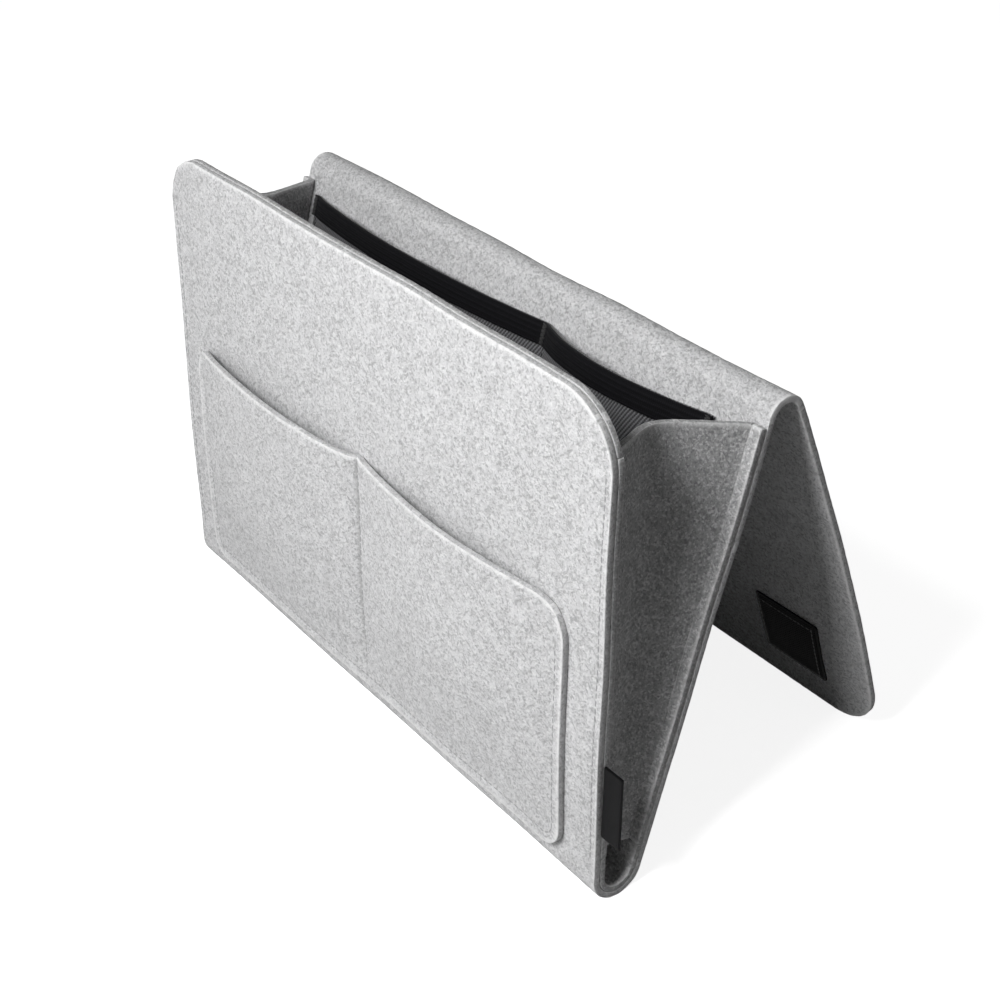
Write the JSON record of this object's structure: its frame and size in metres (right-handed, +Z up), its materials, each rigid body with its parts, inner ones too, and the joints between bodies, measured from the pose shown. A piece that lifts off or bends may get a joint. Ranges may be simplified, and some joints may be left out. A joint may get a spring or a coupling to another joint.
{
  "type": "bedside caddy",
  "caption": "Felt bedside caddy: open-topped pouch with folding side gussets, a divided front pocket, an inner mesh pocket and a hinged rear flap with hook patches.",
  "frame": {"origin": "under the middle of the whole object, on the surface that it stands on, with the flap open behind as pictured", "axes": "+X across the panels towards the side with the tab, +Y from the front panel towards the flap, +Z up"},
  "size_m": [0.352, 0.1788, 0.2363],
  "materials": {
    "felt": "heather grey needled wool felt",
    "felt_lining": "heather grey needled wool felt, inner layer",
    "grey_thread": "grey sewing thread",
    "black_thread": "black sewing thread",
    "pocket_mesh": "dark grey knitted mesh",
    "elastic": "black ribbed elastic",
    "woven_tab": "black woven tape, bare",
    "hook_tape": "black hook tape"
  },
  "bodies": {
    "back": {"back_panel": "felt", "bottom_fold": "felt", "bottom_lining": "felt_lining", "ridge_fold": "felt", "left_gusset": "felt", "right_gusset": "felt", "mesh_pocket": "pocket_mesh", "pocket_elastic": "elastic", "mesh_edge_stitching": "black_thread", "mesh_divider_stitching": "black_thread", "left_bar_tack": "black_thread", "centre_bar_tack": "black_thread", "right_bar_tack": "black_thread", "back_seam_left": "grey_thread", "back_seam_right": "grey_thread"},
    "front": {"front_panel": "felt", "front_lining": "felt_lining", "front_pocket": "felt", "pocket_stitching": "grey_thread", "divider_stitching": "grey_thread", "front_seam_left": "grey_thread", "front_seam_right": "grey_thread", "side_tab": "woven_tab"},
    "flap": {"flap_panel": "felt", "left_hook_patch": "hook_tape", "left_patch_stitching": "black_thread", "right_hook_patch": "hook_tape", "right_patch_stitching": "black_thread"}
  },
  "joints": [
    {"name": "pouch_close", "type": "hinge", "parent": "back", "child": "front", "pos_m": [-0.006, -0.07014, 0.013], "axis": [-1, 0, 0], "range_deg": [0, 18], "deforming": ["left_gusset", "right_gusset", "mesh_pocket", "pocket_elastic"]},
    {"name": "flap_fold", "type": "hinge", "parent": "back", "child": "flap", "pos_m": [-0.006, 0.02007, 0.1995], "axis": [1, 0, 0], "range_deg": [-39, 138], "deforming": ["ridge_fold"]}
  ]
}
